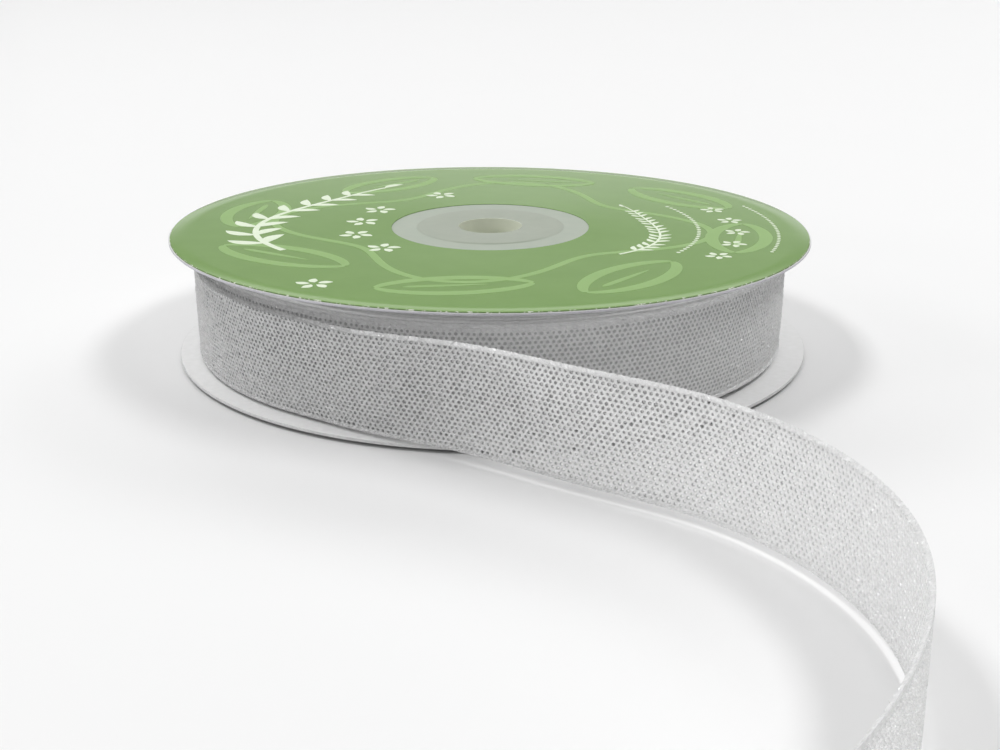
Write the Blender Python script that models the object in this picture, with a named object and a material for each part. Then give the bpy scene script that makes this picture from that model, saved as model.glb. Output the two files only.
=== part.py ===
"""Roll of sheer ribbon on a card spool.

The spool lies flat on its lower flange. The ribbon's loose end leaves the roll at the front left, stands on
its edge on the surface, swings out to the right and curls back towards the front.
"""
import math

import bmesh
import bpy
import numpy as np

# Ribbon
RIBBON_WIDTH = 0.0159
SHEET_THICKNESS = 0.001

# Card flanges and the printed ring on the upper one
FLANGE_RADIUS = 0.051
CARD_THICKNESS = 0.0005
LABEL_RADIUS = 0.0508
LABEL_HOLE_RADIUS = 0.0159
LABEL_THICKNESS = 0.0002

# Plastic core: a barrel between the flanges, a neck through each card and a thin cap outside it
BORE_RADIUS = 0.0051
CAP_RADIUS = 0.0117
CAP_THICKNESS = 0.0003
NECK_RADIUS = 0.0090
BARREL_RADIUS = 0.0140

# Space kept between neighbouring pieces
GAP = 0.0003
CAP_GAP = 0.00025

# The upper card and its label are bent up at the front left and down at the back
RIM_RISE = 0.00078
RISEN_SIDE_ANGLE = math.radians(-113)

# Wound roll
ROLL_RADIUS = 0.0470
ROLL_TAPER = 0.0003
SLACK_IN_SPOOL = 0.0015

# Heights from the surface up
CARD_LOW = CAP_THICKNESS + CAP_GAP
FLOOR_OF_ROLL = CARD_LOW + CARD_THICKNESS
UPPER_CARD_LOW = FLOOR_OF_ROLL + RIBBON_WIDTH + SLACK_IN_SPOOL
UPPER_CARD_TOP = UPPER_CARD_LOW + CARD_THICKNESS
SPOOL_HEIGHT = UPPER_CARD_TOP + CAP_GAP + CAP_THICKNESS

# The turns were laid a little up and down between the cards, and the last turn slopes once round the roll
LOWEST_TURN = FLOOR_OF_ROLL + GAP
HEADROOM = UPPER_CARD_LOW - GAP - LOWEST_TURN - RIBBON_WIDTH
WANDER_PERIOD = 0.0132
WANDER_STEP = 0.0033
HIGH_SIDE_ANGLE = math.radians(-30)

# Loose end on the roll: from where it parts from the turn below to where it swings away
LOOSE_START_ANGLE = math.radians(-154)
LOOSE_LEAVE_ANGLE = math.radians(-124)
LOOSE_ANGLE_STEP = math.radians(6)
LOOSE_RADIUS = ROLL_RADIUS + GAP + SHEET_THICKNESS / 2
LOOSE_LEAN = 0.0024

# Loose end off the roll, measured from the spool's axis:
# x, y, height of the lower edge, lean of the upper edge away from the spool
LOOSE_ROUTE = [
    (-0.0177, -0.0454, 0.00140, 0.0028),
    (-0.0041, -0.0532, 0.00140, 0.0014),
    (0.0109, -0.0641, 0.00130, 0.0004),
    (0.0254, -0.0746, 0.00115, 0.0),
    (0.0363, -0.0899, 0.00105, 0.0),
    (0.0408, -0.1074, 0.00095, 0.0),
    (0.0381, -0.1271, 0.00075, 0.0),
    (0.0297, -0.1445, 0.00040, 0.0),
    (0.0203, -0.1570, 0.00010, 0.0),
]
LOOSE_STATION = 0.0035
LOOSE_ROWS = 3

ROUND_SEGMENTS = 72

CARD_WHITE = (0.86, 0.86, 0.85, 1.0)
LABEL_GREEN = (0.27, 0.42, 0.17, 1.0)
CORE_WHITE = (0.62, 0.64, 0.59, 1.0)
RIBBON_WHITE = (0.80, 0.80, 0.80, 1.0)


def clear_scene():
    for thing in list(bpy.data.objects):
        bpy.data.objects.remove(thing, do_unlink=True)


def make_material(name, colour, roughness):
    material = bpy.data.materials.new(name)
    material.use_nodes = True
    shader = material.node_tree.nodes["Principled BSDF"]
    shader.inputs["Base Color"].default_value = colour
    shader.inputs["Roughness"].default_value = roughness
    shader.inputs["Metallic"].default_value = 0.0
    return material


def make_object(name, form, material, parent):
    """Turn a bmesh into a named object with outward faces, smooth but for its sharp edges."""
    bmesh.ops.recalc_face_normals(form, faces=form.faces)
    mesh = bpy.data.meshes.new(name)
    form.to_mesh(mesh)
    form.free()
    mesh.materials.append(material)
    mesh.shade_smooth()
    mesh.set_sharp_from_angle(angle=math.radians(35))
    thing = bpy.data.objects.new(name, mesh)
    bpy.context.collection.objects.link(thing)
    thing.parent = parent
    return thing


def ring_form(section, height_at=None):
    """Turn a closed section of (radius, height) points round Z; height_at may lift a point by its angle."""
    form = bmesh.new()
    rings = []
    for step in range(ROUND_SEGMENTS):
        angle = 2 * math.pi * step / ROUND_SEGMENTS
        ring = []
        for radius, height in section:
            lift = height_at(radius, angle) if height_at else 0.0
            place = (radius * math.cos(angle), radius * math.sin(angle), height + lift)
            ring.append(form.verts.new(place))
        rings.append(ring)
    for step in range(ROUND_SEGMENTS):
        here = rings[step]
        after = rings[(step + 1) % ROUND_SEGMENTS]
        for index in range(len(section)):
            following = (index + 1) % len(section)
            form.faces.new((here[index], here[following], after[following], after[index]))
    return form


def disc_section(radii, low, high):
    return [(radius, low) for radius in radii] + [(radius, high) for radius in reversed(radii)]


def card_lift(radius, angle):
    """How far the upper card is bent up at this point; it stays flat over the core's barrel."""
    share = max(0.0, radius - BARREL_RADIUS) / (FLANGE_RADIUS - BARREL_RADIUS)
    return RIM_RISE * share * math.cos(angle - RISEN_SIDE_ANGLE)


def core_section():
    barrel_low = FLOOR_OF_ROLL + GAP
    barrel_high = UPPER_CARD_LOW - GAP
    cap_low = UPPER_CARD_TOP + CAP_GAP
    return [
        (BORE_RADIUS, 0.0),
        (CAP_RADIUS, 0.0),
        (CAP_RADIUS, CAP_THICKNESS),
        (NECK_RADIUS, CAP_THICKNESS),
        (NECK_RADIUS, barrel_low),
        (BARREL_RADIUS, barrel_low),
        (BARREL_RADIUS, barrel_high),
        (NECK_RADIUS, barrel_high),
        (NECK_RADIUS, cap_low),
        (CAP_RADIUS, cap_low),
        (CAP_RADIUS, SPOOL_HEIGHT),
        (BORE_RADIUS, SPOOL_HEIGHT),
    ]


def turn_lift(radius, angle):
    """How far the turn at this radius sits above the lowest one."""
    depth = ROLL_RADIUS - radius
    wander = 0.5 + 0.5 * math.cos(angle - HIGH_SIDE_ANGLE - 2 * math.pi * depth / WANDER_PERIOD)
    return wander * (HEADROOM + card_lift(radius, angle))


def roll_section():
    """Section through the wound turns: both ends follow the turns, the outer side narrows a little downwards."""
    inner = BARREL_RADIUS + GAP
    count = math.ceil((ROLL_RADIUS - inner) / WANDER_STEP)
    radii = [inner + (ROLL_RADIUS - inner) * index / count for index in range(count + 1)]
    top = LOWEST_TURN + RIBBON_WIDTH
    lower_end = [(radius, LOWEST_TURN) for radius in radii[:-1]]
    outer_side = [
        (ROLL_RADIUS - ROLL_TAPER, LOWEST_TURN),
        (ROLL_RADIUS, LOWEST_TURN + RIBBON_WIDTH / 2),
        (ROLL_RADIUS, top),
    ]
    upper_end = [(radius, top) for radius in reversed(radii[:-1])]
    return lower_end + outer_side + upper_end


def spline(points, spacing):
    """Natural cubic curve through the points, read at even steps of about the given spacing."""
    points = np.array(points)
    chord = np.linalg.norm(np.diff(points[:, :2], axis=0), axis=1)
    knots = np.concatenate([[0.0], np.cumsum(chord)])
    count = len(points)
    system = np.eye(count)
    bends = np.zeros_like(points)
    for index in range(1, count - 1):
        system[index, index - 1] = chord[index - 1]
        system[index, index] = 2 * (chord[index - 1] + chord[index])
        system[index, index + 1] = chord[index]
        after = (points[index + 1] - points[index]) / chord[index]
        before = (points[index] - points[index - 1]) / chord[index - 1]
        bends[index] = 6 * (after - before)
    bends = np.linalg.solve(system, bends)
    result = []
    for place in np.linspace(0.0, knots[-1], round(knots[-1] / spacing) + 1):
        span = min(int(np.searchsorted(knots, place, side="right")) - 1, count - 2)
        width = chord[span]
        ahead = (place - knots[span]) / width
        behind = 1 - ahead
        cubic = (behind ** 3 - behind) * bends[span] + (ahead ** 3 - ahead) * bends[span + 1]
        result.append(behind * points[span] + ahead * points[span + 1] + cubic * width ** 2 / 6)
    return np.array(result)


def loose_end_route():
    """Rows of x, y, lower edge height and lean, from the roll to the cut end."""
    rows = []
    count = round((LOOSE_LEAVE_ANGLE - LOOSE_START_ANGLE) / LOOSE_ANGLE_STEP)
    for step in range(count + 1):
        share = step / count
        angle = LOOSE_START_ANGLE + share * (LOOSE_LEAVE_ANGLE - LOOSE_START_ANGLE)
        lean = LOOSE_LEAN * share ** 0.5
        rows.append((LOOSE_RADIUS * math.cos(angle), LOOSE_RADIUS * math.sin(angle), LOOSE_ROUTE[0][2], lean))
    return spline(rows + LOOSE_ROUTE, LOOSE_STATION)


def loose_end_form():
    """A strip on edge: its route gives the lower edge, and the upper edge leans out from the spool."""
    route = loose_end_route()
    along = np.gradient(route[:, :2], axis=0)
    along /= np.linalg.norm(along, axis=1)[:, None]
    outward = np.column_stack([along[:, 1], -along[:, 0]])
    form = bmesh.new()
    loops = []
    for (x, y, low, lean), (side_x, side_y) in zip(route, outward):
        rise = math.sqrt(RIBBON_WIDTH ** 2 - lean ** 2)
        near_side = []
        far_side = []
        for row in range(LOOSE_ROWS):
            share = row / (LOOSE_ROWS - 1)
            for offset, side in ((SHEET_THICKNESS / 2, near_side), (-SHEET_THICKNESS / 2, far_side)):
                shift = lean * share + offset
                side.append(form.verts.new((x + side_x * shift, y + side_y * shift, low + rise * share)))
        loops.append(near_side + far_side[::-1])
    for here, after in zip(loops, loops[1:]):
        for index in range(len(here)):
            following = (index + 1) % len(here)
            form.faces.new((here[index], here[following], after[following], after[index]))
    form.faces.new(loops[0])
    form.faces.new(loops[-1])
    return form


def build():
    clear_scene()
    axis = bpy.data.objects.new("spool_axis", None)
    bpy.context.collection.objects.link(axis)

    card = make_material("card", CARD_WHITE, 0.7)
    print_green = make_material("label", LABEL_GREEN, 0.4)
    plastic = make_material("core", CORE_WHITE, 0.5)
    ribbon = make_material("ribbon", RIBBON_WHITE, 0.6)

    hole = NECK_RADIUS + GAP
    lower_card = ring_form(disc_section([hole, FLANGE_RADIUS], CARD_LOW, FLOOR_OF_ROLL))
    upper_radii = [hole, BARREL_RADIUS, FLANGE_RADIUS]
    upper_card = ring_form(disc_section(upper_radii, UPPER_CARD_LOW, UPPER_CARD_TOP), card_lift)
    label_low = UPPER_CARD_TOP + GAP
    label_radii = [LABEL_HOLE_RADIUS, LABEL_RADIUS]
    label = ring_form(disc_section(label_radii, label_low, label_low + LABEL_THICKNESS), card_lift)
    make_object("flange_bottom", lower_card, card, axis)
    make_object("flange_top", upper_card, card, axis)
    make_object("label", label, print_green, axis)
    make_object("core", ring_form(core_section()), plastic, axis)
    make_object("ribbon_roll", ring_form(roll_section(), turn_lift), ribbon, axis)
    loose_end = make_object("loose_end", loose_end_form(), ribbon, axis)

    # The object stands with the middle of its footprint on the origin
    front = min(vertex.co.y for vertex in loose_end.data.vertices)
    axis.location.y = -(FLANGE_RADIUS + front) / 2


build()
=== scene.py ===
"""Looks of the roll of sheer ribbon: net, selvedges, card discs, printed ring, core, light and camera."""
import math

import bpy
import numpy as np
from mathutils import Matrix, Vector


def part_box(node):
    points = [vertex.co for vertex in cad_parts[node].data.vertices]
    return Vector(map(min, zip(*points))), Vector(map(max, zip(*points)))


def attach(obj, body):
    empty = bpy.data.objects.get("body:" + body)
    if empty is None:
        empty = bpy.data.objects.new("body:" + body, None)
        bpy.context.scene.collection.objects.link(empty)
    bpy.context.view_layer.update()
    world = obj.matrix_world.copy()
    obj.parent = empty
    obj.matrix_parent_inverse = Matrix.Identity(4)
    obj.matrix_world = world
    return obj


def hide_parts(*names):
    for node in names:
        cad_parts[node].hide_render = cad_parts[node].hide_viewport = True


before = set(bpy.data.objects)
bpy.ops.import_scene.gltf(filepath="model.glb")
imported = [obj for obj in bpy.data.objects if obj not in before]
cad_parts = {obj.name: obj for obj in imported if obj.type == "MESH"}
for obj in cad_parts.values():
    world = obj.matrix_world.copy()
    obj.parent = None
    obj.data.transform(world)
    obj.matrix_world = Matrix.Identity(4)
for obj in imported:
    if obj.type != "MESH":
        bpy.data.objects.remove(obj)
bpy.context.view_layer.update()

MM = 0.001
card_low_corner, card_high_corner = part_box("flange_bottom")
AXIS_X = (card_low_corner[0] + card_high_corner[0]) / 2
AXIS_Y = (card_low_corner[1] + card_high_corner[1]) / 2

# Lengths of the ribbon and the spool are in millimetres, and their x and y count from the spool's axis

# Ribbon: rows of holes between two selvedges
WIDTH = 15.9
ROWS = 23
SELVEDGE = 0.55
PITCH = 0.828
HOLE_ALONG = 0.245
HOLE_ACROSS = 0.24
STRAND_RISE = 0.13
HOLLOW_DEPTH = 0.10

# The columns of the loose end's cells slant a little, and less and less within this length of its ends
SLANT = 0.12
SLANT_EASE = 8.0

# The ribbon's lower part is tucked in, and the loose end loses this over its first stretch
BOW = 0.35
BOW_STEEPNESS = 1.6
BOW_STRETCH = 60.0

# Cards and printed ring: outlines as in the CAD model, with a thinner upper card that meets the ring
RIM_RADIUS = 51.0
FLAT_RADIUS = 14.0
RIM_RISE = 0.78
RISEN_SIDE = math.radians(-113)
CARD_TOP = 19.24
CARD_THICK = 0.32
PRINT_TOP = 19.42
PRINT_HOLE = 15.9
PRINT_RIM = 50.8

# Winding: one turn of the ribbon adds this much to the radius, and angles are in degrees
TURN_STEP = 0.24
LEAVE_ANGLE = -124.0
JOIN_ANGLE = -190.0
OUTER_RADIUS = 47.2
SOLID_TURNS = 14
CARD_GAP = 0.12

# Lower edge of the ribbon by its angle along the winding
EDGE_HEIGHTS = [
    (-1290, 2.3), (-1220, 2.35), (-1170, 1.6), (-1115, 2.0), (-1000, 1.9), (-920, 2.05),
    (-860, 2.3), (-810, 1.7), (-755, 2.0), (-640, 1.9), (-560, 1.75), (-500, 1.9),
    (-450, 1.45), (-425, 1.5), (-395, 1.75), (-330, 1.8), (-260, 1.6), (-190, 1.4), (-124, 1.4),
]
# Turns further in wander round a height of their own
DEEP_HEIGHT = 2.2
DEEP_WANDER = 0.3
DEEP_WAVES = 0.87

# The loose end starts to lean on the roll, and the rest of its route is given in millimetres:
# x, y, height of the lower edge, lean of the upper edge
LEAN_START = -160.0
LEAN_ON_ROLL = 2.4
LEAN_POWER = 0.7
LOOSE_ROUTE = [
    (-17.7, -45.4, 1.40, 2.8),
    (-4.1, -53.2, 1.40, 1.4),
    (10.9, -64.1, 1.30, 0.4),
    (25.4, -74.6, 1.15, 0.0),
    (36.3, -89.9, 1.05, 0.0),
    (40.8, -107.4, 0.95, 0.0),
    (38.1, -127.1, 0.75, 0.0),
    (29.7, -144.5, 0.40, 0.0),
    (20.3, -157.0, 0.10, 0.0),
]
ROUTE_ANGLES = 6.0
ROUTE_SPACING = 0.25

# By the length along the loose end: how much of the hollows' painted shade shows, how rough the strands and
# their holes stay, the painted shade added to the upper selvedge near the spool, and the factor on the lower
# one's random dullness, which darkens it near the spool as painted shade
HOLLOW_SHADE_FADE = [
    (0, 0.40), (12, 0.62), (22, 0.80), (62, 0.85), (78, 1.0),
    (108, 1.0), (122, 0.78), (136, 0.50), (148, 0.27), (162, 0.15),
]
ROUGHNESS_LEFT = [(130, 1.0), (156, 0.4)]
UPPER_SELVEDGE_SHADE = [(56, 0.30), (84, 0.0)]
LOWER_SELVEDGE_SHADE = [(90, 2.4), (130, 1.0)]
# By the height within the loose end: how much of the hollows' painted shade shows
HOLLOW_SHADE_UPWARDS = [(3, 0.7), (9, 1.0)]

# How far the net strays from its pattern, as standard deviations
CORNER_DRIFT = 0.012
CENTRE_DRIFT = 0.008
RISE_JITTER = 0.045
REACH_JITTER = 0.06
# Each hollow's own share of its shade
HOLLOW_SHARE = (0.6, 1.0)
# Corners of a cell: step along, row above, and height from the cell's middle in rows
CELL = np.array([
    (-1, 0, -1 / 3), (0, 0, -2 / 3), (1, 0, -1 / 3),
    (1, 1, 1 / 3), (0, 1, 2 / 3), (-1, 1, 1 / 3),
])
CORNERS = len(CELL)
# Rings of points inside a cell: share of the hole's size, drift, height off the face, its jitter, and shade
PLAIN_RINGS = [((0.85, 1.15), 0.0, 0.0, 0.03, 0.0)]
SUNK_RINGS = [
    ((1.05, 1.35), 0.012, 0.8 * STRAND_RISE, 0.05, 0.0),
    ((0.34, 0.92), 0.035, -HOLLOW_DEPTH, 0.02, 1.0),
]

# Painted shade on the net by how deep it is sunk, from a strand's face to the bottom of a hollow
SUNK_PAINTED_SHADE = [(0.0, 1.0), (0.12, 0.90), (0.5, 0.42), (1.0, 0.30)]

# Section of a selvedge: share of its breadth from the outer edge, thickness, and roughness
BUNDLE = [
    (0.0, -0.02, 1.0), (0.06, 0.10, 0.7), (0.20, 0.19, 0.5), (0.40, 0.235, 0.7), (0.65, 0.22, 1.0),
    (0.85, 0.15, 1.0), (1.0, 0.05, 0.5), (0.8, -0.07, 0.2), (0.15, -0.08, 0.2),
]
# The same for the loose end's upper selvedge, which is rounder
ROUND_BUNDLE = [
    (0.0, -0.02, 1.0), (0.06, 0.08, 0.9), (0.22, 0.25, 0.9), (0.45, 0.41, 1.1), (0.68, 0.44, 1.2),
    (0.88, 0.28, 1.0), (1.0, 0.05, 0.5), (0.8, -0.07, 0.2), (0.15, -0.08, 0.2),
]
# How far a selvedge overlaps its first row, in rows
BUNDLE_OVERLAP = 0.22
# How far its loops reach outwards, and how fast that falls off across its breadth
LOOP_REACH = 0.05
LOOP_FALL = 6
# How far its threads stray sideways and in thickness, and how dull they get
BUNDLE_DRIFT = 0.03
BUNDLE_JITTER = 0.07
BUNDLE_DULLNESS = 0.14

# The turns under the outer one, and the plain mass further in
TURN_STATIONS = 240
TURN_SETBACK = 0.03
TURN_EDGE_DRIFT = 0.02
# Section of the wound strip: distance off the turn's face, and height within the ribbon
TURN_SECTION = [
    (-0.02, 0.0), (0.05, 0.05), (0.07, 0.35), (0.0, 0.7),
    (0.0, 14.3), (0.07, 15.55), (0.05, 15.85), (-0.02, 15.9),
]
# The step of that section that is plain, between the thicker edges
TURN_PLAIN_STRETCH = 3
HEART_HOLE = 14.6
HEART_LOW = 2.4
HEART_HIGH = 17.3
HEART_BEVEL = 0.3
HEART_GAP = 0.4

# Steps round the axis and across a disc
DISC_SEGMENTS = 240
HEART_SEGMENTS = 180
CORE_SEGMENTS = 144
CARD_RINGS = 12
PRINT_RINGS = 14
CARD_BEVEL = 0.06
PRINT_BEVEL = 0.10
PRINT_LIFT = 0.01

# The lower card's rim goes up and down by this much, in so many waves
WARP = 0.03
WARP_WAVES = 3
WARP_OFFSET = 0.6


# Materials

def new_material(name):
    material = bpy.data.materials.new(name)
    material.use_nodes = True
    nodes = material.node_tree.nodes
    return material, nodes, material.node_tree.links, nodes["Principled BSDF"]


def add_noise(nodes, links, scale, detail=4.0, roughness=0.6):
    place = nodes.new("ShaderNodeTexCoord")
    noise = nodes.new("ShaderNodeTexNoise")
    noise.inputs["Scale"].default_value = scale
    noise.inputs["Detail"].default_value = detail
    noise.inputs["Roughness"].default_value = roughness
    links.new(place.outputs["Object"], noise.inputs["Vector"])
    return noise.outputs["Fac"]


def add_ramp(nodes, links, source, stops):
    ramp = nodes.new("ShaderNodeValToRGB")
    ramp.color_ramp.elements[0].position = stops[0][0]
    ramp.color_ramp.elements[0].color = (*stops[0][1], 1.0)
    ramp.color_ramp.elements[1].position = stops[-1][0]
    ramp.color_ramp.elements[1].color = (*stops[-1][1], 1.0)
    for position, colour in stops[1:-1]:
        element = ramp.color_ramp.elements.new(position)
        element.color = (*colour, 1.0)
    links.new(source, ramp.inputs["Fac"])
    return ramp.outputs["Color"]


def add_bump(nodes, links, height, shader, strength, distance):
    bump = nodes.new("ShaderNodeBump")
    bump.inputs["Strength"].default_value = strength
    bump.inputs["Distance"].default_value = distance
    links.new(height, bump.inputs["Height"])
    links.new(bump.outputs["Normal"], shader.inputs["Normal"])


def grey(level):
    return (level, level, level)


def net_material(name, dark, light, roughness, see_through):
    """Fine nylon: each strand has its own brightness, the sunk attribute darkens it (painted shade in its
    hollows and near the spool, random dullness along its selvedges), and some light passes through.
    """
    material, nodes, links, shader = new_material(name)
    noise = add_noise(nodes, links, scale=3000.0, detail=2.0, roughness=0.8)
    colour = add_ramp(nodes, links, noise, [(0.32, grey(dark)), (0.68, grey(light))])
    # Painted shade: the sunk attribute darkens the colour through these tones
    sunk = nodes.new("ShaderNodeAttribute")
    sunk.attribute_name = "sunk"
    shade = add_ramp(nodes, links, sunk.outputs["Fac"], [(depth, grey(tone)) for depth, tone in SUNK_PAINTED_SHADE])
    blend = nodes.new("ShaderNodeMix")
    blend.data_type = "RGBA"
    blend.blend_type = "MULTIPLY"
    blend.inputs["Factor"].default_value = 1.0
    links.new(colour, blend.inputs["A"])
    links.new(shade, blend.inputs["B"])
    colour = blend.outputs["Result"]
    links.new(colour, shader.inputs["Base Color"])
    shader.inputs["Roughness"].default_value = roughness
    shader.inputs["Specular IOR Level"].default_value = 1.0
    grain = add_noise(nodes, links, scale=5000.0, detail=1.0, roughness=0.5)
    add_bump(nodes, links, grain, shader, strength=0.5, distance=0.00005)
    passed = nodes.new("ShaderNodeBsdfTranslucent")
    links.new(colour, passed.inputs["Color"])
    mix = nodes.new("ShaderNodeMixShader")
    mix.inputs["Fac"].default_value = see_through
    links.new(shader.outputs["BSDF"], mix.inputs[1])
    links.new(passed.outputs["BSDF"], mix.inputs[2])
    links.new(mix.outputs["Shader"], nodes["Material Output"].inputs["Surface"])
    return material


def mottled_material(name, scale, first, second, roughness, tooth_scale, tooth_height, specular=0.5):
    """A surface with a soft mottling in its colour and a fine tooth, whose height is in metres."""
    material, nodes, links, shader = new_material(name)
    noise = add_noise(nodes, links, scale)
    colour = add_ramp(nodes, links, noise, [(0.3, first), (0.7, second)])
    links.new(colour, shader.inputs["Base Color"])
    shader.inputs["Roughness"].default_value = roughness
    shader.inputs["Specular IOR Level"].default_value = specular
    tooth = add_noise(nodes, links, tooth_scale, detail=3.0)
    add_bump(nodes, links, tooth, shader, strength=0.2, distance=tooth_height)
    return material


def worn_edge_material():
    """The cut edge of the printed ring: dark ink, with paper showing where it is worn."""
    material, nodes, links, shader = new_material("print_edge")
    noise = add_noise(nodes, links, scale=1300.0, detail=3.0, roughness=0.7)
    stops = [(0.0, (0.10, 0.18, 0.04)), (0.54, (0.14, 0.24, 0.06)), (0.62, (0.74, 0.78, 0.66))]
    links.new(add_ramp(nodes, links, noise, stops), shader.inputs["Base Color"])
    shader.inputs["Roughness"].default_value = 0.6
    return material


# Shapes

def in_row(points):
    """From millimetres round the spool's axis to metres in the row frame."""
    points = np.asarray(points, dtype=float) * MM
    points[:, 0] += AXIS_X
    points[:, 1] += AXIS_Y
    return points


def make_piece(name, points, faces, materials, indices=None, sharp=None):
    mesh = bpy.data.meshes.new(name)
    mesh.from_pydata(in_row(points).tolist(), [], faces)
    mesh.shade_smooth()
    for entry in materials:
        mesh.materials.append(entry)
    if indices is not None:
        mesh.polygons.foreach_set("material_index", indices)
    if sharp is not None:
        mesh.set_sharp_from_angle(angle=math.radians(sharp))
    piece = bpy.data.objects.new(name, mesh)
    bpy.context.collection.objects.link(piece)
    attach(piece, "root")
    return piece


def from_table(place, table):
    """The value at a place, between the rows (place, value) of a table."""
    return np.interp(place, *zip(*table))


def card_lift(x, y):
    """The upper card is a little bent: how far it stands above its middle."""
    share = np.clip((np.hypot(x, y) - FLAT_RADIUS) / (RIM_RADIUS - FLAT_RADIUS), 0.0, None)
    return RIM_RISE * share * np.cos(np.arctan2(y, x) - RISEN_SIDE)


def revolve(section, segments, lift=None):
    """Points and faces of a closed section of (radius, height) turned round the axis."""
    section = np.asarray(section, dtype=float)
    angles = np.linspace(0, 2 * math.pi, segments, endpoint=False)
    x = section[:, 0] * np.cos(angles)[:, None]
    y = section[:, 0] * np.sin(angles)[:, None]
    height = np.repeat(section[None, :, 1], segments, axis=0)
    if lift is not None:
        height = height + lift(x, y)
    points = np.stack([x, y, height], axis=-1).reshape(-1, 3)
    count = len(section)
    faces = []
    for step in range(segments):
        here, after = step * count, (step + 1) % segments * count
        for index in range(count):
            following = (index + 1) % count
            faces.append((here + index, after + index, after + following, here + following))
    return points, faces


def strip_faces(ids, side, other):
    """Four-sided faces along a grid of point numbers, between two of its columns."""
    return np.column_stack([ids[:-1, side], ids[1:, side], ids[1:, other], ids[:-1, other]]).tolist()


def edge_height(angle):
    """Lower edge of the ribbon along the winding, which wanders a little from turn to turn."""
    keys = np.array(EDGE_HEIGHTS)
    angle = np.asarray(angle, dtype=float)
    place = np.clip(angle, keys[0, 0], keys[-1, 0])
    index = np.clip(np.searchsorted(keys[:, 0], place, side="right") - 1, 0, len(keys) - 2)
    share = (place - keys[index, 0]) / (keys[index + 1, 0] - keys[index, 0])
    share = share * share * (3 - 2 * share)
    height = keys[index, 1] + share * (keys[index + 1, 1] - keys[index, 1])
    deeper = DEEP_HEIGHT + DEEP_WANDER * np.cos(np.radians((angle - keys[0, 0]) * DEEP_WAVES))
    return np.where(angle < keys[0, 0], deeper, height)


def turn_radius(angle):
    return OUTER_RADIUS + (angle - LEAVE_ANGLE) / 360 * TURN_STEP


def tuck(across):
    """How far the ribbon is tucked in towards the axis, most at its lower edge."""
    return BOW * np.clip(1 - across / WIDTH * BOW_STEEPNESS, 0, 1) ** 2


def on_roll(angle, across, off):
    """A point of a turn: angle along the winding, height within the ribbon, and distance off its face."""
    radius = turn_radius(angle) - tuck(across) + off
    turned = np.radians(angle)
    x, y = radius * np.cos(turned), radius * np.sin(turned)
    under_card = CARD_TOP - CARD_THICK - CARD_GAP - WIDTH + card_lift(x, y)
    return np.stack([x, y, np.minimum(edge_height(angle), under_card) + across], axis=-1)


def spline(points, spacing):
    """Points at equal steps on a smooth curve through the given rows."""
    points = np.array(points, dtype=float)
    chord = np.linalg.norm(np.diff(points[:, :2], axis=0), axis=1)
    knots = np.concatenate([[0.0], np.cumsum(chord)])
    count = len(points)
    system = np.eye(count)
    bends = np.zeros_like(points)
    for index in range(1, count - 1):
        system[index, index - 1] = chord[index - 1]
        system[index, index] = 2 * (chord[index - 1] + chord[index])
        system[index, index + 1] = chord[index]
        after = (points[index + 1] - points[index]) / chord[index]
        before = (points[index] - points[index - 1]) / chord[index - 1]
        bends[index] = 6 * (after - before)
    bends = np.linalg.solve(system, bends)
    result = []
    for place in np.linspace(0.0, knots[-1], round(knots[-1] / spacing) + 1):
        span = min(int(np.searchsorted(knots, place, side="right")) - 1, count - 2)
        width = chord[span]
        ahead = (place - knots[span]) / width
        behind = 1 - ahead
        cubic = (behind ** 3 - behind) * bends[span] + (ahead ** 3 - ahead) * bends[span + 1]
        result.append(behind * points[span] + ahead * points[span + 1] + cubic * width ** 2 / 6)
    return np.array(result)


def loose_path():
    """Dense rows of x, y, lower edge height, lean, outward x, outward y, and the length along."""
    rows = []
    for angle in np.arange(JOIN_ANGLE, LEAVE_ANGLE + 0.1, ROUTE_ANGLES):
        share = np.clip((angle - LEAN_START) / (LEAVE_ANGLE - LEAN_START), 0, 1)
        radius = turn_radius(angle)
        turned = math.radians(angle)
        x, y = radius * math.cos(turned), radius * math.sin(turned)
        rows.append((x, y, float(edge_height(angle)), LEAN_ON_ROLL * share ** LEAN_POWER))
    route = spline(rows + LOOSE_ROUTE, ROUTE_SPACING)
    along = np.gradient(route[:, :2], axis=0)
    step = np.linalg.norm(np.diff(route[:, :2], axis=0), axis=1)
    along /= np.linalg.norm(along, axis=1)[:, None]
    length = np.concatenate([[0.0], np.cumsum(step)])
    return np.column_stack([route, along[:, 1], -along[:, 0], length])


path = loose_path()
LOOSE_LENGTH = path[-1, 6]
TURN_LENGTH = 2 * math.pi * turn_radius(JOIN_ANGLE - 180)


def on_loose_end(place, across, off):
    """A point of the loose end: length along it, height within the ribbon, and distance off its face."""
    values = [np.interp(place, path[:, 6], path[:, column]) for column in range(6)]
    x, y, low, lean, side_x, side_y = values
    share = across / WIDTH
    on_spool = np.clip(1 - place / BOW_STRETCH, 0, 1)
    shift = lean * share - tuck(across) * on_spool + off
    rise = np.sqrt(WIDTH ** 2 - lean ** 2) * share
    return np.stack([x + side_x * shift, y + side_y * shift, low + rise], axis=-1)


def on_outer_turn(place, across, off):
    """The same for the outermost whole turn of the roll."""
    return on_roll(JOIN_ANGLE - 360 + place / TURN_LENGTH * 360, across, off)


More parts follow.
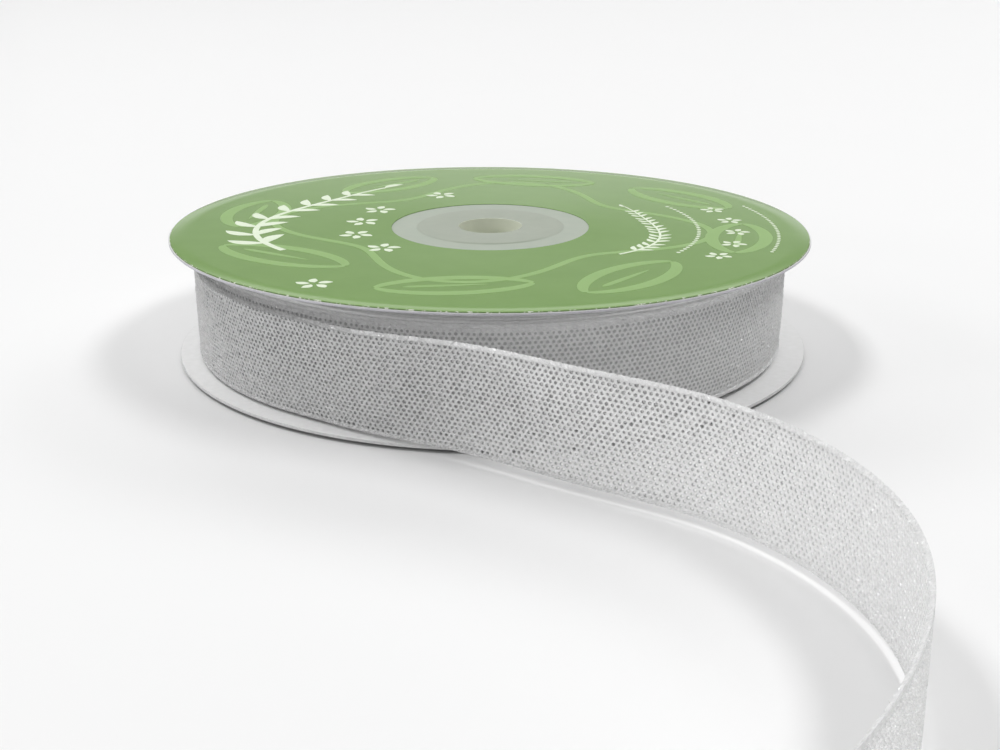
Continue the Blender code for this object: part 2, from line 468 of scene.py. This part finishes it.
def net_piece(name, surface, length, seed, materials, first=0, slant=0.0, loops=2, shade_fade=None):
    """A strip of net with two selvedges: strands round each cell, which sink to a small opening.

    Only the loose end has hollows, whose painted shade fades along it by the given table.
    """
    dice = np.random.default_rng(seed)
    cells = round(length / PITCH)
    half = length / cells / 2
    last = 2 * cells
    row_step = (WIDTH - 2 * SELVEDGE) / ROWS

    def sheared(along, across):
        window = np.clip(np.minimum(along, length - along) / SLANT_EASE, 0, 1)
        return along + slant * window * (across - WIDTH / 2)

    def calm(along):
        return from_table(along, ROUGHNESS_LEFT) if shade_fade else 1.0

    # The corners of the cells lie in zigzag rows, a sixth of a row up and down, and are regular at both ends
    m, k = np.meshgrid(np.arange(first, last + 1), np.arange(ROWS + 1), indexing="ij")
    free = np.where((m < first + 2) | (m > last - 2), 0.0, 1.0)
    up = np.where((m + k - 1) % 2 == 0, 1.0, -1.0)
    along = m * half + dice.normal(0, CORNER_DRIFT, m.shape) * free
    across = SELVEDGE + k * row_step + up * row_step / 6 + dice.normal(0, CORNER_DRIFT, m.shape) * free
    rise = STRAND_RISE + dice.normal(0, RISE_JITTER, m.shape) * free * calm(along)
    points = [surface(sheared(along, across).ravel(), across.ravel(), rise.ravel())]

    middles = [(column, row) for row in range(ROWS)
               for column in range(first + 1 + (first + 1 - row) % 2, last, 2)]
    centre_m, centre_k = np.array(middles).T
    total = len(middles)
    middle_u = centre_m * half + dice.normal(0, CENTRE_DRIFT, total)
    middle_v = SELVEDGE + (centre_k + 0.5) * row_step + dice.normal(0, CENTRE_DRIFT, total)
    quiet = calm(middle_u)

    def ring(reach_share, drift, height, height_jitter):
        """Six points round each middle, at a share of the hole's size, as a block of rows."""
        swell = dice.uniform(*reach_share, total)
        off_u = middle_u + dice.normal(0, drift, total)
        off_v = middle_v + dice.normal(0, drift, total)
        found = []
        for direction in CELL[:, [0, 2]] * (half, row_step):
            in_holes = np.hypot(*(direction / (HOLE_ALONG, HOLE_ACROSS)))
            reach = swell / in_holes * (1 + dice.normal(0, REACH_JITTER, total))
            hole_u = off_u + direction[0] * reach
            hole_v = off_v + direction[1] * reach
            level = height + dice.normal(0, height_jitter, total) * quiet
            found.append(surface(sheared(hole_u, hole_v), hole_v, level))
        return np.stack(found, axis=1).reshape(-1, 3)

    base = m.size
    depth = [np.zeros(base)]
    corners = [[(centre_m + int(c[0]) - first) * (ROWS + 1) + centre_k + int(c[1]) for c in CELL]]
    for reach_share, drift, height, height_jitter, shade in SUNK_RINGS if shade_fade else PLAIN_RINGS:
        points.append(ring(reach_share, drift, height, height_jitter))
        corners.append([base + np.arange(total) * CORNERS + index for index in range(CORNERS)])
        # How much of each hollow's painted shade shows, at random and by the tables along and across the
        # loose end
        shown = dice.uniform(*HOLLOW_SHARE, total)
        if shade_fade:
            shown *= from_table(middle_u, shade_fade) * from_table(middle_v, HOLLOW_SHADE_UPWARDS)
        depth.append(np.repeat(shade * shown, CORNERS))
        base += total * CORNERS
    faces = []
    for outer, inner in zip(corners[:-1], corners[1:]):
        for index in range(CORNERS):
            after = (index + 1) % CORNERS
            faces.extend(np.column_stack([outer[index], outer[after], inner[after]]).tolist())
            faces.extend(np.column_stack([outer[index], inner[after], inner[index]]).tolist())
    net_faces = len(faces)

    # A selvedge is a flat bundle of threads, with small loops along its outer edge
    stations = np.linspace(first * half, length, (last - first) * loops // 2 + 1)
    count, wide = len(stations), len(BUNDLE)
    band = SELVEDGE + row_step * BUNDLE_OVERLAP
    for low, outer in ((0.0, -1.0), (WIDTH, 1.0)):
        sides = []
        section = ROUND_BUNDLE if shade_fade and outer > 0 else BUNDLE
        for share, thick, rough in section:
            loop = LOOP_REACH * (np.arange(count) % 2) * max(0.0, 1 - share * LOOP_FALL)
            across = low - outer * (share * band - loop) + dice.normal(0, BUNDLE_DRIFT, count) * rough
            uneven = dice.normal(0, BUNDLE_JITTER, count) * rough * (thick > 0)
            sides.append(surface(stations, across, thick + uneven))
        points.append(np.stack(sides, axis=1).reshape(-1, 3))
        # Random dullness along each selvedge; on the loose end, painted shade is added to the upper one and
        # the lower one's darkening is made stronger near the spool
        dull_and_shade = dice.uniform(0, BUNDLE_DULLNESS, (count, wide))
        if shade_fade and outer > 0:
            dull_and_shade += from_table(stations, UPPER_SELVEDGE_SHADE)[:, None]
        elif shade_fade:
            dull_and_shade *= from_table(stations, LOWER_SELVEDGE_SHADE)[:, None]
        depth.append(dull_and_shade.ravel())
        ids = base + np.arange(count * wide).reshape(count, wide)
        for index in range(wide):
            faces.extend(strip_faces(ids, index, (index + 1) % wide))
        for end in (ids[0], ids[-1][::-1]):
            faces.append(end.tolist())
        base += count * wide
    indices = np.arange(len(faces)) >= net_faces
    piece = make_piece(name, np.concatenate(points), faces, materials, indices.astype(int))
    piece.data.polygons.foreach_set("use_smooth", np.zeros(len(faces), dtype=bool))
    sunk = piece.data.attributes.new("sunk", "FLOAT", "POINT")
    sunk.data.foreach_set("value", np.concatenate(depth))
    return piece


# The ribbon

strand = net_material("net_strand", dark=0.86, light=1.0, roughness=0.15, see_through=0.48)
bundle = net_material("net_selvedge", dark=0.94, light=1.0, roughness=0.2, see_through=0.34)
# The plain stretch of the wound turns and the mass further in are painted mid grey: painted shade deep in
# the roll behind the outer net; their selvedge bands keep a near-white tone
packed_shade = mottled_material(
    "packed_turns_painted_shade", scale=1900.0, first=grey(0.50), second=grey(0.60), roughness=0.5,
    tooth_scale=3000.0, tooth_height=0.00005, specular=0.4,
)
packed_edge = mottled_material(
    "packed_selvedge", scale=1900.0, first=grey(0.86), second=grey(0.96), roughness=0.4,
    tooth_scale=3000.0, tooth_height=0.00006, specular=0.4,
)

# The loose end's net starts one step before its join and has twice as many loops along its selvedges
loose = net_piece(
    "loose_end_net", on_loose_end, LOOSE_LENGTH, seed=11, materials=[strand, bundle],
    first=-1, slant=SLANT, loops=4, shade_fade=HOLLOW_SHADE_FADE,
)
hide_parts("loose_end")
turn_outer = net_piece("turn_outer", on_outer_turn, TURN_LENGTH, seed=12, materials=[strand, bundle])


def solid_turns():
    """The turns under the outer one, as a plain strip with a thicker bundle along both edges."""
    dice = np.random.default_rng(seed=21)
    start = JOIN_ANGLE - 360 * (SOLID_TURNS + 1)
    angles = np.linspace(start, JOIN_ANGLE - 360, SOLID_TURNS * TURN_STATIONS + 1)
    sides = []
    for off, across in TURN_SECTION:
        drift = TURN_EDGE_DRIFT if across in (0.0, WIDTH) else 0.0
        sides.append(on_roll(angles, across + dice.normal(0, drift, len(angles)), off - TURN_SETBACK))
    ids = np.arange(len(angles) * len(TURN_SECTION)).reshape(len(angles), len(TURN_SECTION))
    faces, indices = [], []
    for index in range(len(TURN_SECTION) - 1):
        faces.extend(strip_faces(ids, index, index + 1))
        # The plain stretch takes the grey painted shade, the thicker edges the near-white selvedge look
        indices.extend([0 if index == TURN_PLAIN_STRETCH else 1] * (len(angles) - 1))
    points = np.stack(sides, axis=1).reshape(-1, 3)
    length = 2 * math.pi * SOLID_TURNS * turn_radius(start + 180 * SOLID_TURNS)
    return make_piece("turns_inside", points, faces, [packed_shade, packed_edge], indices), length


def heart_of_roll():
    """The wound mass further in, between the solid turns and the core."""
    outer = turn_radius(JOIN_ANGLE - 360 * (SOLID_TURNS + 1)) - HEART_GAP
    section = [
        (HEART_HOLE, HEART_LOW), (outer - HEART_BEVEL, HEART_LOW), (outer, HEART_LOW + HEART_BEVEL),
        (outer, HEART_HIGH - HEART_BEVEL), (outer - HEART_BEVEL, HEART_HIGH), (HEART_HOLE, HEART_HIGH),
    ]
    points, faces = revolve(section, HEART_SEGMENTS)
    make_piece("turns_heart", points, faces, [packed_shade], sharp=30)


inside, INSIDE_LENGTH = solid_turns()
heart_of_roll()
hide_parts("ribbon_roll")

# Cards, printed ring, core

board = mottled_material(
    "card_board", scale=900.0, first=(0.85, 0.85, 0.845), second=grey(0.90), roughness=0.6,
    tooth_scale=2400.0, tooth_height=0.00003, specular=0.3,
)
# Dark grey under side of the lower card: painted shade in the thin gap between the card and the floor
board_back_shade = mottled_material(
    "card_back_painted_shade", scale=900.0, first=grey(0.26), second=grey(0.32), roughness=0.8,
    tooth_scale=2400.0, tooth_height=0.00003, specular=0.2,
)
board_rim = mottled_material(
    "card_lower_edge", scale=1600.0, first=grey(0.62), second=grey(0.72), roughness=0.7,
    tooth_scale=3500.0, tooth_height=0.00003, specular=0.3,
)
board_edge = mottled_material(
    "card_cut_edge", scale=1600.0, first=(0.54, 0.53, 0.57), second=(0.63, 0.62, 0.66), roughness=0.7,
    tooth_scale=3500.0, tooth_height=0.00004, specular=0.2,
)


def card_piece(name, stands_for, low, high, hole, radius, lift, shift, cut_edge, under_side):
    """A card disc, with looks of their own for its cut edge and its under side."""
    reaches = np.linspace(hole, radius - CARD_BEVEL, CARD_RINGS)
    section = [(reach, low) for reach in reaches]
    section += [(radius, low + CARD_BEVEL), (radius, high - CARD_BEVEL)]
    section += [(reach, high) for reach in reaches[::-1]]
    points, faces = revolve(section, DISC_SEGMENTS, lift)
    points[:, 0] += shift
    zones = [2] * (CARD_RINGS - 1) + [1] * 3 + [0] * CARD_RINGS
    looks = [board, cut_edge, under_side]
    piece = make_piece(name, points, faces, looks, zones * DISC_SEGMENTS, sharp=35)
    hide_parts(stands_for)


def lower_warp(x, y):
    share = np.clip(np.hypot(x, y) / RIM_RADIUS, 0, 1) ** 2
    return WARP * share * np.cos(WARP_WAVES * np.arctan2(y, x) + WARP_OFFSET)


# The lower card's dark under side is painted shade for the gap beneath it
card_piece(
    "card_lower", "flange_bottom", low=0.51, high=0.95, hole=9.6, radius=50.65, lift=lower_warp, shift=0.35,
    cut_edge=board_rim, under_side=board_back_shade,
)
card_piece(
    "card_upper", "flange_top", low=CARD_TOP - CARD_THICK, high=CARD_TOP, hole=9.3, radius=RIM_RADIUS,
    lift=card_lift, shift=0.0, cut_edge=board_edge, under_side=board,
)

green = mottled_material(
    "print_green", scale=160.0, first=(0.176, 0.321, 0.075), second=(0.190, 0.339, 0.083), roughness=0.23,
    tooth_scale=1400.0, tooth_height=0.00001, specular=0.30,
)
pale = mottled_material(
    "print_pale_green", scale=160.0, first=(0.252, 0.435, 0.126), second=(0.266, 0.451, 0.135),
    roughness=0.32, tooth_scale=1400.0, tooth_height=0.00001, specular=0.25,
)
white_ink = mottled_material(
    "print_white", scale=400.0, first=(0.74, 0.84, 0.64), second=(0.80, 0.88, 0.71), roughness=0.38,
    tooth_scale=1400.0, tooth_height=0.00001, specular=0.15,
)
worn = worn_edge_material()


def label_piece():
    """The printed ring on the upper card, with a worn cut edge."""
    low = CARD_TOP + PRINT_LIFT
    reaches = np.linspace(PRINT_HOLE, PRINT_RIM - PRINT_BEVEL, PRINT_RINGS)
    section = [(reach, low) for reach in reaches]
    section += [(PRINT_RIM, low + PRINT_LIFT), (PRINT_RIM, PRINT_TOP - PRINT_BEVEL / 2)]
    section += [(reach, PRINT_TOP) for reach in reaches[::-1]]
    points, faces = revolve(section, DISC_SEGMENTS, card_lift)
    zones = [0] * (PRINT_RINGS - 1) + [1] * 3 + [0] * PRINT_RINGS
    piece = make_piece("print_ring", points, faces, [green, worn], zones * DISC_SEGMENTS, sharp=35)
    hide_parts("label")


label_piece()


class Ink:
    """Flat printed shapes, each a thin closed strip along a line in the label's plane."""

    # Strips that cross differ a little in level, and all reach down into the ring
    level_step = 0.0004
    level_count = 20
    sunk = 0.02
    # Slim leaves: how far they bend to one side, how full they are, and their least half width
    leaf_bend = 0.12
    leaf_power = 0.8
    leaf_least = 0.03
    dot_least = 0.02
    # Outlined leaves: how full they are, and how their strokes run out
    outline_steps = 27
    outline_power = 1.35
    stroke_end = 0.10
    stroke_power = 0.5
    # Their veins: place along the leaf, half width in strokes, and how they run out
    vein_steps = 15
    vein_start = -0.66
    vein_reach = 1.10
    vein_half = 0.34
    vein_loss = 0.22
    vein_power = 0.35
    # Petals, as shares of the flower's size
    petal_gap = 0.25
    petal_length = 0.8
    petal_half = 0.24
    petal_steps = 7
    # Sprigs: steps of the stem, those that carry leaves, and how stem and leaves get smaller
    sprig_steps = 60
    first_pair = 6
    pair_steps = 50
    stem_loss = 0.5
    leaf_loss = 0.35
    leaf_spread = 0.85
    tip_leaf = 0.7

    def __init__(self, level):
        self.level = level
        self.points, self.faces, self.count = [], [], 0

    def strip(self, line, half_widths):
        line = np.asarray(line, dtype=float)
        half = np.broadcast_to(np.asarray(half_widths, dtype=float), len(line))[:, None]
        along = np.gradient(line, axis=0)
        along /= np.linalg.norm(along, axis=1)[:, None]
        side = np.column_stack([-along[:, 1], along[:, 0]])
        level = self.level + self.level_step * (self.count % self.level_count)
        rows = []
        for sign, top in ((1, True), (1, False), (-1, False), (-1, True)):
            place = line + sign * half * side
            height = PRINT_TOP + card_lift(place[:, 0], place[:, 1]) + (level if top else -self.sunk)
            rows.append(np.column_stack([place, height]))
        base = sum(len(block) for block in self.points)
        self.points.append(np.stack(rows, axis=1).reshape(-1, 3))
        for step in range(len(line) - 1):
            here, after = base + step * 4, base + step * 4 + 4
            for index in range(4):
                following = (index + 1) % 4
                self.faces.append((here + index, after + index, after + following, here + following))
        end = base + (len(line) - 1) * 4
        self.faces.append((base, base + 1, base + 2, base + 3))
        self.faces.append((end + 3, end + 2, end + 1, end))
        self.count += 1

    def leaf(self, x, y, direction, length, half_width, steps=9):
        """A slim leaf that bends to one side."""
        share = np.linspace(0.0, 1.0, steps)
        bend = self.leaf_bend * length * np.sin(math.pi * share)
        forward = np.array([math.cos(direction), math.sin(direction)])
        across = np.array([-forward[1], forward[0]])
        line = np.array([x, y]) + share[:, None] * length * forward + bend[:, None] * across
        self.strip(line, half_width * np.sin(math.pi * share) ** self.leaf_power + self.leaf_least)

    def dot(self, x, y, radius, steps=7):
        share = np.linspace(-1, 1, steps)
        line = np.column_stack([x + share * radius, np.full(steps, y)])
        self.strip(line, radius * np.sqrt(1 - share ** 2) + self.dot_least)

    def run_out(self, wave, power):
        """Share of a stroke's width: full in its middle and little at its ends."""
        return self.stroke_end + (1 - self.stroke_end) * wave ** power

    def leaf_outline(self, x, y, direction, length, half_width, stroke):
        """A broad leaf as two strokes that thin out at both ends, with a short vein."""
        turn = np.linspace(0, math.pi, self.outline_steps)
        forward = np.array([math.cos(direction), math.sin(direction)])
        across = np.array([-forward[1], forward[0]])
        taper = stroke / 2 * self.run_out(np.sin(turn), self.stroke_power)
        for side in (-1, 1):
            reach = np.cos(turn) * length / 2
            swing = side * np.sin(turn) ** self.outline_power * half_width
            self.strip(np.array([x, y]) + reach[:, None] * forward + swing[:, None] * across, taper)
        share = np.linspace(0, 1, self.vein_steps)
        vein = (self.vein_start + self.vein_reach * share)[:, None] * length / 2
        half = stroke * (self.vein_half - self.vein_loss * share)
        half = half * self.run_out(np.sin(math.pi * share), self.vein_power)
        self.strip(np.array([x, y]) + vein * forward, half)

    def flower(self, heading, radius, size, petals=5):
        """Petals round a spot, given by its direction and distance from the axis."""
        spot = math.radians(heading)
        x, y = radius * math.cos(spot), radius * math.sin(spot)
        gap = self.petal_gap * size
        length, half = size * self.petal_length, size * self.petal_half
        for petal in range(petals):
            direction = spot + petal * 2 * math.pi / petals
            petal_x, petal_y = x + gap * math.cos(direction), y + gap * math.sin(direction)
            self.leaf(petal_x, petal_y, direction, length, half, self.petal_steps)

    def sprig(self, radius, start, stop, stem, leaf_length, leaf_half, pairs, sway):
        """A swaying stem round the axis with pairs of leaves, which get smaller, and one at its tip."""
        share = np.linspace(0, 1, self.sprig_steps)
        turn = np.radians(start + (stop - start) * share)
        reach = radius + sway * np.sin(share * 2 * math.pi)
        line = np.column_stack([reach * np.cos(turn), reach * np.sin(turn)])
        self.strip(line, stem * (1 - self.stem_loss * share))
        for pair in range(pairs):
            place = int(self.first_pair + self.pair_steps * pair / pairs)
            x, y = line[place]
            heading = math.atan2(*(line[place + 1] - line[place])[::-1])
            shrink = 1 - self.leaf_loss * pair / pairs
            for side in (-1, 1):
                turned = heading + side * self.leaf_spread
                self.leaf(x, y, turned, leaf_length * shrink, leaf_half * shrink)
        x, y = line[-1]
        heading = math.atan2(*(line[-1] - line[-2])[::-1])
        self.leaf(x, y, heading, leaf_length * self.tip_leaf, leaf_half * self.tip_leaf)

    def arc_of_dots(self, radius, start, stop, size, spacing):
        for turn in np.arange(math.radians(start), math.radians(stop), spacing / radius):
            self.dot(radius * math.cos(turn), radius * math.sin(turn), size)

    def stem(self, radius, sway, waves, offset, half_width):
        """A winding line right round the axis."""
        turn = np.linspace(0, 2 * math.pi, 200)
        reach = radius + sway * np.cos(waves * turn + offset)
        self.strip(np.column_stack([reach * np.cos(turn), reach * np.sin(turn)]), half_width)

    def piece(self, name, material):
        make_piece(name, np.concatenate(self.points), self.faces, [material], sharp=30)


# A plain leafy pattern: broad leaf outlines on a winding stem, with white sprigs, flowers and dots over it
PALE_LEVEL = 0.010
WHITE_LEVEL = 0.022
LEAF_STROKE = 2.1
# Leaf outlines: x, y, direction, length, half width
LEAVES = [
    (-31, -20, -32, 23, 4.4), (-5, -37, 8, 22, 4.2), (20, -32, 52, 22, 4.4), (39, -8, 78, 20, 4.2),
    (33, 22, 132, 22, 4.4), (8, 37, 168, 22, 4.2), (-18, 33, 222, 20, 4.2), (-39, 9, 262, 20, 4.4),
]
# Sprigs: radius, start, stop, half width of the stem, leaf length, its half width, pairs of leaves, sway
SPRIGS = [(35.5, 208, 122, 0.55, 6.2, 1.05, 8, 2.0), (27.0, -44, 32, 0.24, 2.6, 0.42, 15, 1.0)]
# Arcs of dots: radius, start, stop, size, spacing
DOT_ARCS = [(33.5, -32, 26, 0.34, 1.25), (46.0, -22, 20, 0.30, 1.15)]
# Flowers: direction, distance from the axis, size
FLOWERS = [(heading, 39.5, 2.0) for heading in (-30, -18, -6, 6, 18)]
FLOWERS += [(222, 22, 2.6), (196, 22, 2.6), (172, 21, 2.6), (148, 22, 2.6), (236, 44, 2.6), (110, 25, 2.6)]

tone = Ink(PALE_LEVEL)
tone.stem(radius=30, sway=5.5, waves=4, offset=0.6, half_width=0.65)
for leaf_x, leaf_y, heading, leaf_length, leaf_half in LEAVES:
    tone.leaf_outline(leaf_x, leaf_y, math.radians(heading), leaf_length, leaf_half, LEAF_STROKE)
tone.piece("print_leaves", pale)

motif = Ink(WHITE_LEVEL)
for entry in SPRIGS:
    motif.sprig(*entry)
for entry in DOT_ARCS:
    motif.arc_of_dots(*entry)
for entry in FLOWERS:
    motif.flower(*entry)
motif.piece("print_sprigs", white_ink)

plastic = mottled_material(
    "core_plastic", scale=420.0, first=(0.318, 0.355, 0.288), second=(0.343, 0.38, 0.308), roughness=0.45,
    tooth_scale=1500.0, tooth_height=0.00003,
)
plastic_rim = mottled_material(
    "core_rim", scale=420.0, first=(0.36, 0.41, 0.34), second=(0.39, 0.435, 0.36), roughness=0.5,
    tooth_scale=1500.0, tooth_height=0.00003,
)
plastic_bore = mottled_material(
    "core_bore", scale=420.0, first=(0.72, 0.75, 0.63), second=(0.76, 0.79, 0.67), roughness=0.6,
    tooth_scale=1500.0, tooth_height=0.00003,
)


def core_piece():
    """The core from its lower cap over the barrel to the upper cap, with a flat rim that meets the ring."""
    section = [
        (5.1, 0.02), (11.4, 0.0), (11.7, 0.1), (11.7, 0.3),
        (9.0, 0.45), (9.0, 1.35), (14.0, 1.35), (14.0, 18.3), (9.0, 18.3), (9.0, CARD_TOP + 0.01),
        (PRINT_HOLE, CARD_TOP + 0.01), (PRINT_HOLE, CARD_TOP + 0.06),
        (12.0, CARD_TOP + 0.06), (11.85, CARD_TOP + 0.10), (11.7, 19.45), (11.45, 19.5),
        (5.25, 19.5), (5.14, 19.47), (5.1, 19.42),
    ]
    points, faces = revolve(section, CORE_SEGMENTS)
    looks = [plastic, plastic_rim, plastic_bore]
    zones = [0] * 11 + [1, 1] + [0] * 4 + [2, 2]
    piece = make_piece("core_moulding", points, faces, looks, zones * CORE_SEGMENTS, sharp=30)
    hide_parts("core")


core_piece()

# Floor, light, camera: places and sizes in metres, power in watts

FLOOR_REACH = 4.0
FLOOR_TONE = 0.885
SKY_STRENGTH = 0.155
LIGHT_TARGET = Vector((0, 0.03, 0))
# Lights: name, place, size, power
LIGHTS = [
    ("left_box", (-0.52, 0.046, 1.025), (0.55, 0.22), 4.4),
    ("left_low", (-0.941, 0.38, 0.54), (0.9, 0.25), 2.5),
    ("right_box", (0.609, -0.021, 0.975), (0.6, 0.22), 4.1),
    ("right_low", (0.705, 0.658, 0.626), (0.7, 0.3), 1.7),
    ("back_wash", (0.0, 1.2, 0.8), (2.0, 0.4), 5.8),
    ("front_fill", (-0.25, -1.45, 0.32), (0.4, 0.3), 1.5),
    ("left_front", (-1.25, -0.65, 0.45), (0.25, 0.20), 1.8),
    ("front_high", (0.25, -1.45, 1.35), (0.8, 0.4), 3.8),
    ("back_low", (0.25, 1.42, 0.15), (1.6, 0.22), 1.2),
]

# The camera of the photograph, found by fitting the discs, the roll and the loose end
FOCAL_PIXELS = 1576.5
IMAGE_WIDTH = 1000
SENSOR_WIDTH = 36.0
CAMERA_BACK = 0.24863
CAMERA_HEIGHT = 0.07957
PITCH_DOWN = math.radians(19.01)
TURN_RIGHT = math.radians(0.355)
ROLL = math.radians(-0.085)


def add_floor():
    reach = FLOOR_REACH
    mesh = bpy.data.meshes.new("floor")
    mesh.from_pydata([(-reach, -reach, 0), (reach, -reach, 0), (reach, reach, 0), (-reach, reach, 0)], [],
                     [(0, 1, 2, 3)])
    floor = bpy.data.objects.new("floor", mesh)
    bpy.context.collection.objects.link(floor)
    material, nodes, links, shader = new_material("floor_white")
    shader.inputs["Base Color"].default_value = (*grey(FLOOR_TONE), 1.0)
    shader.inputs["Roughness"].default_value = 0.5
    shader.inputs["Specular IOR Level"].default_value = 0.3
    mesh.materials.append(material)


def add_light(name, place, size, power):
    data = bpy.data.lights.new(name, "AREA")
    data.shape = "RECTANGLE"
    data.size, data.size_y = size
    data.energy = power
    lamp = bpy.data.objects.new(name, data)
    bpy.context.collection.objects.link(lamp)
    lamp.location = place
    lamp.rotation_euler = (LIGHT_TARGET - Vector(place)).to_track_quat("-Z", "Y").to_euler()


def add_sky():
    world = bpy.data.worlds.new("studio")
    bpy.context.scene.world = world
    world.use_nodes = True
    sky = world.node_tree.nodes["Background"]
    sky.inputs["Color"].default_value = (1, 1, 1, 1)
    sky.inputs["Strength"].default_value = SKY_STRENGTH


def add_camera():
    forward = Vector((
        math.sin(TURN_RIGHT) * math.cos(PITCH_DOWN),
        math.cos(TURN_RIGHT) * math.cos(PITCH_DOWN),
        -math.sin(PITCH_DOWN),
    ))
    right = forward.cross(Vector((0, 0, 1))).normalized()
    up = right.cross(forward)
    rolled_right = math.cos(ROLL) * right + math.sin(ROLL) * up
    rolled_up = -math.sin(ROLL) * right + math.cos(ROLL) * up
    data = bpy.data.cameras.new("photo_view")
    data.sensor_fit = "HORIZONTAL"
    data.sensor_width = SENSOR_WIDTH
    data.lens = FOCAL_PIXELS * SENSOR_WIDTH / IMAGE_WIDTH
    data.clip_start = 0.01
    data.clip_end = 20.0
    camera = bpy.data.objects.new("photo_view", data)
    bpy.context.collection.objects.link(camera)
    turned = Matrix((rolled_right, rolled_up, -forward)).transposed().to_4x4()
    camera.matrix_world = Matrix.Translation((AXIS_X, AXIS_Y - CAMERA_BACK, CAMERA_HEIGHT)) @ turned
    bpy.context.scene.camera = camera


add_floor()
for light in LIGHTS:
    add_light(*light)
add_sky()
add_camera()
bpy.context.scene.view_settings.view_transform = "Standard"

# Finish

bpy.context.view_layer.update()
